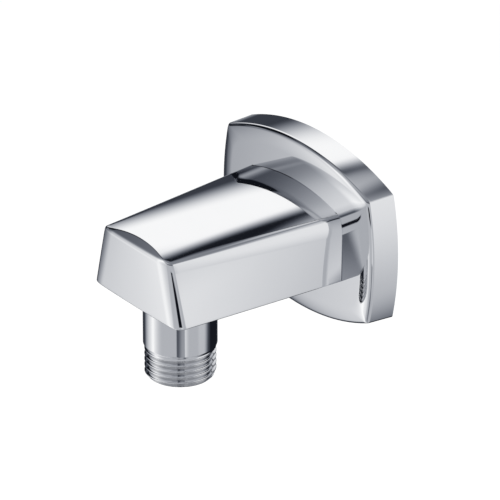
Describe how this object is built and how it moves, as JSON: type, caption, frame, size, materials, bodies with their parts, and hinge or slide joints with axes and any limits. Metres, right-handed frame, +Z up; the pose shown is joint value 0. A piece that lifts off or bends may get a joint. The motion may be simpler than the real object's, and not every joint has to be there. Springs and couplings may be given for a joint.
{
  "type": "wall outlet elbow",
  "caption": "Chromed wall outlet elbow: a bowed cover plate, a tapering rectangular arm and a threaded hose outlet pointing down.",
  "frame": {"origin": "on the inlet's axis, in the wall plane at the back of the cover plate", "axes": "+Z up, the arm points out along -Y, +Y into the wall, the hose leaves along -Z"},
  "size_m": [0.0738, 0.0814, 0.0631],
  "materials": {
    "chrome": "polished",
    "turned_chrome": "turned and plated",
    "brass": "machined",
    "steel": "plain",
    "rubber": "matte",
    "gasket": "matte, soft"
  },
  "bodies": {
    "root": {"wall_plate": "chrome", "plate_gasket": "gasket", "plate_o_ring": "rubber", "arm_body": "chrome", "wall_nipple": "brass", "nipple_o_ring_rear": "rubber", "nipple_o_ring_front": "rubber", "set_screw": "steel", "outlet_nipple": "turned_chrome", "outlet_o_ring": "rubber"}
  },
  "joints": []
}
